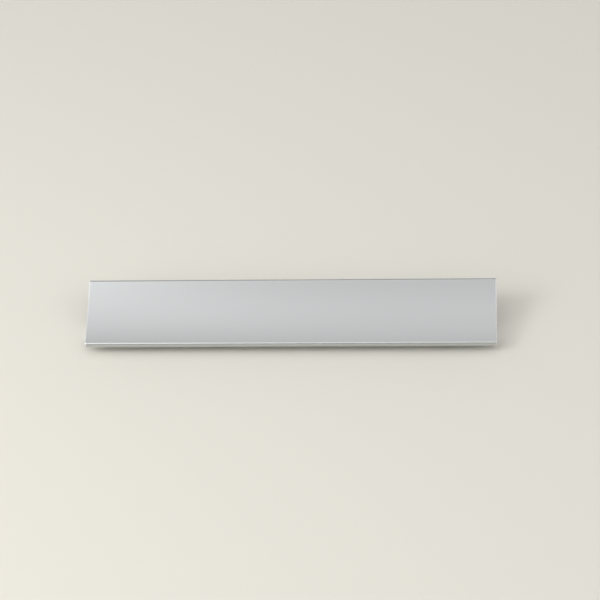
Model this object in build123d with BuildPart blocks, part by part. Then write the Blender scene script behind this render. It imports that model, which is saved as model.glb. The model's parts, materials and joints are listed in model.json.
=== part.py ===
"""Cabinet handle: one sawn length of extruded aluminium with a dished, leaning face on a mounting rib.

Millimetres, +Z up. The foot of the rib lies on Z = 0, the plane of the door or drawer front.
X runs along the extrusion. The face leans so that its lip (-Y) is low and its grip edge (+Y) is high.
The origin is in the middle of the foot, halfway between the two tapped holes.
"""
from build123d import *

import os
from math import asin, cos, degrees, radians, sin, tan

# Extrusion as a whole
length = 200.0              # between the sawn ends
end_radius = 0.5            # broken edge round each sawn end
turn_share = 0.9            # most of the section's tightest rounding that the broken edge may take

# Leaning face and the wall behind it
face_width = 35.0           # chord across the hollow, lip to grip edge
face_tilt = 22.0            # lean of that chord from the door, in degrees
face_hollow_radius = 125.0  # hollow of the face, across its width
wall = 3.0                  # wall behind the face
lip_clearance = 4.6         # gap between the lip and the door
edge_radius = 1.0           # rounding of the lip and the grip edge, in front
back_radius = 0.8           # rounding of the same two edges, behind
wall_share = 0.45           # most of the wall's thickness that one rounding may take

# Mounting rib
rib_width = 9.0
rib_offset = 1.5            # how far the rib's centre lies towards the lip from the middle of the face
root_radius = 2.5           # fillets where the rib runs into the wall
foot_radius = 0.8           # rounding along the foot

# Tapped holes for M4 screws, from behind the door
hole_spacing = 160.0
tap_drill_diameter = 3.3
thread_diameter = 4.0
hole_depth = 8.0            # to the shoulder of the drill point
mouth_clearance = 0.2       # how far the countersunk mouth is wider than the thread
mouth_angle = 90.0
drill_point_angle = 118.0

# Places in the section, as (Y, Z)
half_arc = degrees(asin(face_width / 2 / face_hollow_radius))
back_hollow_radius = face_hollow_radius + wall
face_middle = Vector(
    rib_offset,
    lip_clearance
    + wall * cos(radians(half_arc)) * cos(radians(face_tilt))
    + back_hollow_radius * sin(radians(half_arc)) * sin(radians(face_tilt)),
)
face_outward = Vector(-sin(radians(face_tilt)), cos(radians(face_tilt)))
hollow_centre = face_middle + face_outward * (face_hollow_radius * cos(radians(half_arc)))
lip_angle = face_tilt - 90 - half_arc

# Roundings that share the thickness of the wall, and the broken edge that turns inside them
front_rounding = min(edge_radius, wall * wall_share)
back_rounding = min(back_radius, wall * wall_share)
end_rounding = min(end_radius, min(front_rounding, back_rounding, foot_radius) * turn_share)

tap_drill_radius = tap_drill_diameter / 2
drill_point_height = tap_drill_radius / tan(radians(drill_point_angle / 2))
foot_plane = Plane(origin=(0, 0, 0), x_dir=(1, 0, 0), z_dir=(0, 0, -1))


def nearest_vertices(sketch, points):
    """The sketch's vertex at each of these points."""
    return [sketch.vertices().sort_by_distance(point)[0] for point in points]


with BuildPart() as handle:
    # Section of the extrusion: the rib stops inside the wall, and the dished wall lies across it
    with BuildSketch(Plane.YZ) as section:
        Rectangle(rib_width, face_middle.Y, align=(Align.CENTER, Align.MIN))
        with Locations(hollow_centre):
            Circle(face_hollow_radius + wall / 2, mode=Mode.SUBTRACT)
        with BuildLine():
            face = CenterArc(hollow_centre, face_hollow_radius, lip_angle, 2 * half_arc)
            back = CenterArc(hollow_centre, back_hollow_radius, lip_angle, 2 * half_arc)
            Line(face @ 0, back @ 0)
            Line(face @ 1, back @ 1)
        make_face()

        outer_corners = [face @ 0, face @ 1, back @ 0, back @ 1]
        foot_corners = section.vertices().group_by(Axis.Y)[0]
        roots = section.vertices() - foot_corners - nearest_vertices(section, outer_corners)
        fillet(roots, root_radius)
        fillet(section.vertices().group_by(Axis.Y)[0], foot_radius)
        fillet(nearest_vertices(section, [face @ 0, face @ 1]), front_rounding)
        fillet(nearest_vertices(section, [back @ 0, back @ 1]), back_rounding)
    extrude(amount=length / 2, both=True)

    # Broken edges of the sawn ends
    fillet(handle.faces().filter_by(Axis.X).edges(), end_rounding)

    # Blind tapped holes in the foot, with countersunk mouths and a drill point at the bottom
    with Locations(foot_plane):
        with GridLocations(hole_spacing, 0, 2, 1):
            CounterSinkHole(
                tap_drill_radius,
                thread_diameter / 2 + mouth_clearance / 2,
                hole_depth,
                mouth_angle,
            )
            with Locations((0, 0, -hole_depth)):
                Cone(
                    tap_drill_radius,
                    0,
                    drill_point_height,
                    rotation=(180, 0, 0),
                    align=(Align.CENTER, Align.CENTER, Align.MIN),
                    mode=Mode.SUBTRACT,
                )

handle.part.label = "handle_profile"

os.makedirs("parts", exist_ok=True)
export_step(handle.part, "parts/handle_profile.step")
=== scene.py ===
"""Looks of the cabinet handle: satin anodised aluminium on a pale cream floor, in soft studio light.

Metres and degrees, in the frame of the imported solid: X along the extrusion, +Y towards the raised grip
edge, +Z up.
"""
import json
import math

import bpy
import numpy as np
from mathutils import Matrix, Vector


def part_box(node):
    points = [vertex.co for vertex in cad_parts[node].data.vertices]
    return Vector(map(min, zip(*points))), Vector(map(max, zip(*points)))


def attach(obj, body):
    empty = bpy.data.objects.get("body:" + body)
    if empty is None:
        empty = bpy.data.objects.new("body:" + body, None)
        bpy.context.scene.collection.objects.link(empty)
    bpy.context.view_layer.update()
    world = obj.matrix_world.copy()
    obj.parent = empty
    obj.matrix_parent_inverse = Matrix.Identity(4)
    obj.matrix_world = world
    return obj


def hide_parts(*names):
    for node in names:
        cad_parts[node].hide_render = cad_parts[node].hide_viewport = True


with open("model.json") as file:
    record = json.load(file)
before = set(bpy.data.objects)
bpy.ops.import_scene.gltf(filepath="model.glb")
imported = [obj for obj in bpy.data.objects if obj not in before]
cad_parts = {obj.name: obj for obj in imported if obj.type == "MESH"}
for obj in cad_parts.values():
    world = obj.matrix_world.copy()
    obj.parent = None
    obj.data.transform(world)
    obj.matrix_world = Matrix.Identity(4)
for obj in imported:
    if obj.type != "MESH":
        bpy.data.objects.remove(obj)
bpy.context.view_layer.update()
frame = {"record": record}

MM = 0.001
NODE = "handle_profile"

# Sizes of the section, as in the solid
FACE_WIDTH = 35.0 * MM
FACE_TILT = 22.0
FACE_HOLLOW_RADIUS = 125.0 * MM
WALL = 3.0 * MM
LIP_CLEARANCE = 4.6 * MM
EDGE_RADIUS = 1.0 * MM
BACK_RADIUS = 0.8 * MM
RIB_WIDTH = 9.0 * MM
RIB_OFFSET = 1.5 * MM
ROOT_RADIUS = 2.5 * MM
FOOT_RADIUS = 0.8 * MM
END_RADIUS = 0.5 * MM

# Tapped holes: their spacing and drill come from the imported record, and the M4 thread is cut here
SCREWS = next(mount for mount in frame["record"]["mounts"] if mount["name"] == "screw_holes")["dims"]
HOLE_PLACES = (-SCREWS["spacing_x_mm"] / 2 * MM, SCREWS["spacing_x_mm"] / 2 * MM)
DRILL_RADIUS = SCREWS["hole_r_mm"] * MM
HOLE_DEPTH = 8.0 * MM
DRILL_POINT_ANGLE = 118.0
MOUTH_RADIUS = 2.1 * MM
MOUTH_ANGLE = 90.0
THREAD_RADIUS = 2.0 * MM
THREAD_PITCH = 0.7 * MM
THREAD_DEPTH = 7.0 * MM

# The groove of the thread over one pitch: places as shares of the pitch, and the share of its depth there
GROOVE_PLACES = (0.0, 0.125, 0.4375, 0.5625, 0.875, 1.0)
GROOVE_SHARES = (0.0, 0.0, 1.0, 1.0, 0.0, 0.0)

# How finely the mesh follows the solid
FACE_STEPS = 64
BACK_STEPS = 18
ROUND_STEPS = 10
ROOT_STEPS = 12
LINE_STEPS = 3
END_STEPS = 8
PLAIN_STEP = 10.0 * MM
THREAD_ROWS_PER_PITCH = 12

# Places across the square of the foot round a hole, from -1 to 1, at even angles as seen from the hole
SQUARE_STEPS = 12
SQUARE_PLACES = np.tan(np.radians(np.linspace(-45, 45, SQUARE_STEPS + 1)))

# Materials of the handle, in the order of its slots
SKIN, SAWN, BORE = range(3)

# Height of the drawing lines and saw marks at full strength
MARK_HEIGHT = 0.02 * MM

# Floor: how far it reaches from its middle, and its finish
FLOOR_REACH = 6.0
FLOOR_CREAM = (0.718, 0.697, 0.634, 1)
FLOOR_ROUGHNESS = 0.9

# Light of the room: dim all round, and rising to a pale ceiling between two elevations
ROOM_GLOW = 0.2
CEILING_GLOW = 0.75
CEILING_FROM = 54.0
CEILING_TO = 78.0

# Soft boxes aimed at the handle, as (azimuth, elevation, distance, width, height, glow).
# Azimuth runs from the front (-Y) to the left (-X). The glow is what a white mirror would show.
# The key and left_near cast the shadow to the right. The metal mirrors the dimmer panels from each side.
LAMPS = {
    "key": (62.5, 38.7, 1.3, 0.5, 0.5, 4.8),
    "front": (0, 58, 2.0, 1.3, 0.8, 1.1),
    "front_low": (0, 35, 2.0, 1.3, 0.8, 0.5),
    "right": (-55, 58, 2.0, 1.1, 0.8, 1.0),
    "right_low": (-55, 35, 2.0, 1.7, 0.8, 1.7),
    "right_side": (-100, 35, 2.0, 1.2, 0.8, 0.2),
    "right_wall": (-105, 12, 2.0, 2.4, 0.8, 1.1),
    "left": (55, 58, 2.0, 1.1, 0.8, 1.1),
    "left_low": (45, 35, 2.0, 1.3, 0.8, 1.1),
    "left_near": (60, 38, 0.8, 0.6, 0.5, 1.1),
    "left_front_wall": (40, 12, 2.0, 1.6, 0.8, 1.1),
    "left_wall": (80, 12, 2.0, 1.2, 0.8, 0.4),
    "left_back_wall": (122, 12, 2.0, 2.0, 0.8, 1.1),
    "left_back": (112, 32, 2.0, 1.2, 0.7, 0.6),
    "back_wall": (180, 12, 2.0, 3.0, 0.8, 0.8),
    "overhead": (180, 78, 1.0, 1.2, 0.6, 0.2),
    "overhead_left": (95, 69, 1.06, 0.4, 0.55, 0.15),
    "overhead_corner": (60, 66, 1.1, 0.4, 0.4, 0.26),
}

# Viewpoint of the photograph, fitted to the handle's edges
CAMERA_ELEVATION = 42.0
CAMERA_YAW = 5.826
CAMERA_ROLL = 4.221
CAMERA_DISTANCE = 1.2117
CAMERA_TARGET = Vector((3.538, 16.238, 8.0)) * MM
FOCAL_PIXELS = 2461.9
FRAME_PIXELS = 600


def add_object(name, data):
    """A new object in the scene, with this mesh, light or camera."""
    item = bpy.data.objects.new(name, data)
    bpy.context.scene.collection.objects.link(item)
    return item


def direction(angle):
    """The unit vector at this angle in the plane of the section."""
    return np.array([math.cos(math.radians(angle)), math.sin(math.radians(angle))])


class Section:
    """The outline of the extrusion as points and outward normals in (Y, Z), turning anticlockwise."""

    def __init__(self):
        self.points = []
        self.normals = []

    def add(self, point, normal):
        self.points.append(point)
        self.normals.append(normal)

    def arc(self, centre, radius, start, end, steps, inward=False):
        """Points from one angle to another, without the last. Inward turns the normals to the centre."""
        for angle in np.linspace(start, end, steps, endpoint=False):
            ray = direction(angle)
            self.add(centre + radius * ray, -ray if inward else ray)

    def line(self, start, end, shares):
        """Points at these shares of a straight line, with the material on its left."""
        along = np.array(end) - np.array(start)
        right = np.array([along[1], -along[0]]) / np.linalg.norm(along)
        for share in shares:
            self.add(np.array(start) + share * along, right)


def make_section():
    """The outline, starting along the foot, and how far the foot's flat reaches to each side."""
    half_arc = math.degrees(math.asin(FACE_WIDTH / 2 / FACE_HOLLOW_RADIUS))
    back_hollow_radius = FACE_HOLLOW_RADIUS + WALL
    tilt, half = math.radians(FACE_TILT), math.radians(half_arc)
    middle = np.array([
        RIB_OFFSET,
        LIP_CLEARANCE
        + WALL * math.cos(half) * math.cos(tilt)
        + back_hollow_radius * math.sin(half) * math.sin(tilt),
    ])
    hollow = middle + FACE_HOLLOW_RADIUS * math.cos(half) * direction(FACE_TILT + 90)
    lip, grip = FACE_TILT - 90 - half_arc, FACE_TILT - 90 + half_arc

    # Centres of the roundings, turned in from the two ends of the arc
    front_reach = FACE_HOLLOW_RADIUS + EDGE_RADIUS
    back_reach = back_hollow_radius - BACK_RADIUS
    front_turn = math.degrees(math.asin(EDGE_RADIUS / front_reach))
    back_turn = math.degrees(math.asin(BACK_RADIUS / back_reach))
    grip_front = hollow + front_reach * direction(grip - front_turn)
    grip_back = hollow + back_reach * direction(grip - back_turn)
    lip_front = hollow + front_reach * direction(lip + front_turn)
    lip_back = hollow + back_reach * direction(lip + back_turn)

    # Straight ends of the wall at the grip edge and the lip, between their two roundings
    grip_out, lip_out = direction(grip + 90), direction(lip - 90)
    grip_end = (grip_back + BACK_RADIUS * grip_out, grip_front + EDGE_RADIUS * grip_out)
    lip_end = (lip_front + EDGE_RADIUS * lip_out, lip_back + BACK_RADIUS * lip_out)

    # Centres of the two fillets at the root of the rib, towards the lip (-1) and the grip edge (1)
    half_rib = RIB_WIDTH / 2
    root_reach = back_hollow_radius + ROOT_RADIUS
    roots, root_angles = {}, {}
    for side in (-1, 1):
        root_y = side * (half_rib + ROOT_RADIUS)
        root_z = hollow[1] - math.sqrt(root_reach**2 - (root_y - hollow[0])**2)
        roots[side] = np.array([root_y, root_z])
        root_angles[side] = math.degrees(math.atan2(root_z - hollow[1], root_y - hollow[0]))

    # Flat of the foot, in the steps of the squares round its holes
    flat = half_rib - FOOT_RADIUS
    flat_shares = (1 + SQUARE_PLACES[:-1]) / 2
    foot_right, foot_left = np.array([flat, FOOT_RADIUS]), np.array([-flat, FOOT_RADIUS])

    line_shares = np.arange(LINE_STEPS) / LINE_STEPS
    section = Section()
    section.line((-flat, 0), (flat, 0), flat_shares)
    section.arc(foot_right, FOOT_RADIUS, -90, 0, ROUND_STEPS)
    section.line((half_rib, FOOT_RADIUS), (half_rib, roots[1][1]), line_shares)
    section.arc(roots[1], ROOT_RADIUS, 180, root_angles[1] + 180, ROOT_STEPS, inward=True)
    section.arc(hollow, back_hollow_radius, root_angles[1], grip - back_turn, BACK_STEPS)
    section.arc(grip_back, BACK_RADIUS, grip - back_turn, grip + 90, ROUND_STEPS)
    section.line(*grip_end, line_shares)
    section.arc(grip_front, EDGE_RADIUS, grip + 90, grip - front_turn + 180, ROUND_STEPS)
    section.arc(hollow, FACE_HOLLOW_RADIUS, grip - front_turn, lip + front_turn, FACE_STEPS, inward=True)
    section.arc(lip_front, EDGE_RADIUS, lip + front_turn + 180, lip + 270, ROUND_STEPS)
    section.line(*lip_end, line_shares)
    section.arc(lip_back, BACK_RADIUS, lip - 90, lip + back_turn, ROUND_STEPS)
    section.arc(hollow, back_hollow_radius, lip + back_turn, root_angles[-1], BACK_STEPS)
    section.arc(roots[-1], ROOT_RADIUS, root_angles[-1] + 180, 0, ROOT_STEPS, inward=True)
    section.line((-half_rib, roots[-1][1]), (-half_rib, FOOT_RADIUS), line_shares)
    section.arc(foot_left, FOOT_RADIUS, 180, 270, ROUND_STEPS)
    return section, flat


def plain_run(start, end):
    """Places after the start and up to the end, about one plain step apart."""
    steps = max(1, round((end - start) / PLAIN_STEP))
    return list(np.linspace(start, end, steps + 1)[1:])


def make_stations(half_length, flat):
    """Where the outline is repeated along X, and the first of these places at each hole's square.

    Each is (x, how far the outline shrinks there, how far its normals turn to the end, in radians).
    """
    straight = half_length - END_RADIUS
    turns = np.radians(np.linspace(0, 90, END_STEPS + 1))[1:]
    right_end = [
        (straight + END_RADIUS * math.sin(turn), END_RADIUS * (1 - math.cos(turn)), turn) for turn in turns
    ]
    left_end = [(-x, shrink, -turn) for x, shrink, turn in reversed(right_end)]

    places = [-straight]
    firsts = []
    for hole_x in HOLE_PLACES:
        places += plain_run(places[-1], hole_x - flat)
        firsts.append(len(left_end) + len(places) - 1)
        places += list(hole_x + flat * SQUARE_PLACES[1:])
    places += plain_run(places[-1], straight)
    return left_end + [(x, 0.0, 0.0) for x in places] + right_end, firsts


class Builder:
    """Vertices, faces, the normal at each corner of a face, and the material of each face."""

    def __init__(self):
        self.vertices = []
        self.faces = []
        self.normals = []
        self.slots = []

    def vertex(self, *place):
        """Adds a vertex and gives its number."""
        self.vertices.append(place)
        return len(self.vertices) - 1

    def face(self, corners, slot, normals=None):
        """Adds a face on these vertices, shaded flat where no normals are given for its corners."""
        if normals is None:
            first, second, last = (np.array(self.vertices[i]) for i in (corners[0], corners[1], corners[-1]))
            across = np.cross(second - first, last - first)
            normals = [across / np.linalg.norm(across)] * len(corners)
        self.faces.append(corners)
        self.normals.append(normals)
        self.slots.append(slot)

    def make_mesh(self, name):
        """The mesh of all the faces, without the vertices that none of them uses."""
        used = sorted({i for face in self.faces for i in face})
        renumber = {old: new for new, old in enumerate(used)}
        faces = [[renumber[i] for i in face] for face in self.faces]
        mesh = bpy.data.meshes.new(name)
        mesh.from_pydata([self.vertices[i] for i in used], [], faces)
        for polygon, slot in zip(mesh.polygons, self.slots):
            polygon.material_index = slot
            polygon.use_smooth = True
        mesh.normals_split_custom_set([tuple(normal) for face in self.normals for normal in face])
        return mesh


def bore_radius(angle, height):
    """The wall of a tapped hole: an M4 groove cut out from the drilled bore, inside a countersunk mouth.

    The angle is in radians, and the height is above the foot.
    """
    phase = (height / THREAD_PITCH - angle / (2 * math.pi)) % 1.0
    groove = np.interp(phase, GROOVE_PLACES, GROOVE_SHARES)
    fade = min(1.0, max(0.0, (THREAD_DEPTH - height) / THREAD_PITCH))
    wall = DRILL_RADIUS + groove * fade * (THREAD_RADIUS - DRILL_RADIUS)
    mouth = MOUTH_RADIUS - height * math.tan(math.radians(MOUTH_ANGLE / 2))
    return max(wall, mouth)


def add_bore(builder, hole_x, rim):
    """A blind tapped hole up into the foot, joined to the rim of vertices round its square of the foot."""
    angles = [math.atan2(builder.vertices[i][1], builder.vertices[i][0] - hole_x) for i in rim]
    rings = []
    for height in np.linspace(0, HOLE_DEPTH, round(HOLE_DEPTH / THREAD_PITCH * THREAD_ROWS_PER_PITCH)):
        ring = []
        for angle in angles:
            radius = bore_radius(angle, height)
            ring.append(builder.vertex(hole_x + radius * math.cos(angle), radius * math.sin(angle), height))
        rings.append(ring)
    point_height = DRILL_RADIUS / math.tan(math.radians(DRILL_POINT_ANGLE / 2))
    apex = builder.vertex(hole_x, 0.0, HOLE_DEPTH + point_height)

    down = np.array([0.0, 0.0, -1.0])
    for here in range(len(rim)):
        after = (here + 1) % len(rim)
        builder.face([rim[here], rings[0][here], rings[0][after], rim[after]], SKIN, [down] * 4)
        for low, high in zip(rings, rings[1:]):
            builder.face([low[here], high[here], high[after], low[after]], BORE)
        builder.face([rings[-1][here], apex, rings[-1][after]], BORE)


def make_handle():
    """The handle as one closed mesh that follows the solid, with its threads."""
    section, flat = make_section()
    low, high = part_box(NODE)
    stations, firsts = make_stations((high.x - low.x) / 2, flat)
    builder = Builder()

    # The outline at each station
    grid, normals = [], []
    for x, shrink, turn in stations:
        row, row_normals = [], []
        for point, normal in zip(section.points, section.normals):
            row.append(builder.vertex(x, *(point - shrink * normal)))
            row_normals.append(np.array([math.sin(turn), *(math.cos(turn) * normal)]))
        grid.append(row)
        normals.append(row_normals)

    # The skin and the broken edges, apart from the squares round the holes
    count = len(section.points)
    for i in range(len(stations) - 1):
        in_square = any(first <= i < first + SQUARE_STEPS for first in firsts)
        slot = SAWN if stations[i][1] + stations[i + 1][1] > 0 else SKIN
        for j in range(count):
            if in_square and j < SQUARE_STEPS:
                continue
            after = (j + 1) % count
            corners = [(i, j), (i, after), (i + 1, after), (i + 1, j)]
            corner_normals = [normals[row][place] for row, place in corners]
            builder.face([grid[row][place] for row, place in corners], slot, corner_normals)

    # The sawn ends
    builder.face(list(reversed(grid[0])), SAWN, [np.array([-1.0, 0, 0])] * count)
    builder.face(list(grid[-1]), SAWN, [np.array([1.0, 0, 0])] * count)

    # The holes, each with the vertices round its square
    for first, hole_x in zip(firsts, HOLE_PLACES):
        last = first + SQUARE_STEPS
        rim = [grid[i][0] for i in range(first, last)]
        rim += [grid[last][j] for j in range(SQUARE_STEPS)]
        rim += [grid[i][SQUARE_STEPS] for i in range(last, first, -1)]
        rim += [grid[first][j] for j in range(SQUARE_STEPS, 0, -1)]
        add_bore(builder, hole_x, rim)
    return add_object("handle", builder.make_mesh("handle"))


def new_material(name):
    """A new material and its shader."""
    material = bpy.data.materials.new(name)
    material.use_nodes = True
    return material, material.node_tree.nodes["Principled BSDF"]


def marked_metal(name, colour, marks, detail, roughness, relief=0.0):
    """Metal whose fine marks vary its roughness between two values and, with relief, lift it a little.

    Marks gives how closely they lie along X, Y and Z, as a count in each metre.
    """
    material, shader = new_material(name)
    nodes, links = material.node_tree.nodes, material.node_tree.links
    shader.inputs["Metallic"].default_value = 1.0
    shader.inputs["Base Color"].default_value = (*colour, 1)
    place = nodes.new("ShaderNodeTexCoord")
    stretch = nodes.new("ShaderNodeMapping")
    stretch.inputs["Scale"].default_value = marks
    noise = nodes.new("ShaderNodeTexNoise")
    noise.inputs["Scale"].default_value = 1.0
    noise.inputs["Detail"].default_value = detail
    gloss = nodes.new("ShaderNodeMapRange")
    gloss.inputs["To Min"].default_value, gloss.inputs["To Max"].default_value = roughness
    links.new(place.outputs["Object"], stretch.inputs["Vector"])
    links.new(stretch.outputs["Vector"], noise.inputs["Vector"])
    links.new(noise.outputs["Fac"], gloss.inputs["Value"])
    links.new(gloss.outputs["Result"], shader.inputs["Roughness"])
    if relief > 0:
        bump = nodes.new("ShaderNodeBump")
        bump.inputs["Strength"].default_value = relief
        bump.inputs["Distance"].default_value = MARK_HEIGHT
        links.new(noise.outputs["Fac"], bump.inputs["Height"])
        links.new(bump.outputs["Normal"], shader.inputs["Normal"])
    return material


def satin_aluminium():
    """Anodised skin, with faint drawing lines along the extrusion."""
    return marked_metal(
        "satin_aluminium",
        colour=(0.59, 0.605, 0.605),
        marks=(4, 2600, 2600),
        detail=3.0,
        roughness=(0.24, 0.265),
        relief=0.01,
    )


def sawn_aluminium():
    """Bare cut ends, brighter than the skin, with fine saw marks across them."""
    return marked_metal(
        "sawn_aluminium",
        colour=(0.8, 0.81, 0.815),
        marks=(200, 300, 5000),
        detail=2.0,
        roughness=(0.2, 0.36),
        relief=0.15,
    )


def bore_aluminium():
    """Walls of the tapped holes: bare metal with an even grain, duller and darker than the cut ends."""
    return marked_metal(
        "bore_aluminium",
        colour=(0.5, 0.51, 0.51),
        marks=(3000, 3000, 3000),
        detail=2.0,
        roughness=(0.28, 0.42),
    )


def make_floor():
    """A plain pale cream floor at the height of the foot."""
    mesh = bpy.data.meshes.new("floor")
    sides = ((-1, -1), (1, -1), (1, 1), (-1, 1))
    corners = [(x * FLOOR_REACH, y * FLOOR_REACH, 0) for x, y in sides]
    mesh.from_pydata(corners, [], [(0, 1, 2, 3)])
    floor = add_object("floor", mesh)
    material, shader = new_material("floor_cream")
    shader.inputs["Base Color"].default_value = FLOOR_CREAM
    shader.inputs["Roughness"].default_value = FLOOR_ROUGHNESS
    shader.inputs["Specular IOR Level"].default_value = 0.0
    mesh.materials.append(material)


def make_room():
    """A dim room with a pale ceiling: its light depends only on the height of the direction."""
    world = bpy.data.worlds.new("studio")
    world.use_nodes = True
    nodes, links = world.node_tree.nodes, world.node_tree.links
    background = nodes["Background"]
    background.inputs["Color"].default_value = (1, 1, 1, 1)
    way = nodes.new("ShaderNodeTexCoord")
    height = nodes.new("ShaderNodeSeparateXYZ")
    glow = nodes.new("ShaderNodeMapRange")
    glow.inputs["From Min"].default_value = math.sin(math.radians(CEILING_FROM))
    glow.inputs["From Max"].default_value = math.sin(math.radians(CEILING_TO))
    glow.inputs["To Min"].default_value = ROOM_GLOW
    glow.inputs["To Max"].default_value = CEILING_GLOW
    links.new(way.outputs["Generated"], height.inputs["Vector"])
    links.new(height.outputs["Z"], glow.inputs["Value"])
    links.new(glow.outputs["Result"], background.inputs["Strength"])
    bpy.context.scene.world = world


def soft_box(name, azimuth, elevation, distance, width, height, glow):
    """A rectangular lamp aimed at the handle."""
    turn, rise = math.radians(azimuth), math.radians(elevation)
    level = distance * math.cos(rise)
    place = Vector((-level * math.sin(turn), -level * math.cos(turn), distance * math.sin(rise)))
    light = bpy.data.lights.new(name, "AREA")
    light.shape = "RECTANGLE"
    light.size, light.size_y = width, height
    light.energy = math.pi * width * height * glow
    lamp = add_object(name, light)
    lamp.location = place
    lamp.rotation_mode = "QUATERNION"
    lamp.rotation_quaternion = (-place).to_track_quat("-Z", "Y")


def make_camera():
    """The camera at the photograph's viewpoint."""
    elevation, yaw, roll = (math.radians(angle) for angle in (CAMERA_ELEVATION, CAMERA_YAW, CAMERA_ROLL))
    back = Vector((
        math.sin(yaw) * math.cos(elevation),
        -math.cos(yaw) * math.cos(elevation),
        math.sin(elevation),
    ))
    level = Vector((math.cos(yaw), math.sin(yaw), 0))
    rise = back.cross(level)
    right = level * math.cos(roll) - rise * math.sin(roll)
    up = level * math.sin(roll) + rise * math.cos(roll)
    lens = bpy.data.cameras.new("camera")
    lens.lens = lens.sensor_width * FOCAL_PIXELS / FRAME_PIXELS
    axes = Matrix((right, up, back)).transposed().to_4x4()
    axes.translation = CAMERA_TARGET + back * CAMERA_DISTANCE
    camera = add_object("camera", lens)
    camera.matrix_world = axes
    bpy.context.scene.camera = camera


handle = make_handle()
for make_material in (satin_aluminium, sawn_aluminium, bore_aluminium):
    handle.data.materials.append(make_material())
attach(handle, "root")
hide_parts(NODE)
make_floor()
make_room()
for name, place_and_size in LAMPS.items():
    soft_box(name, *place_and_size)
make_camera()
bpy.context.scene.view_settings.view_transform = "Standard"
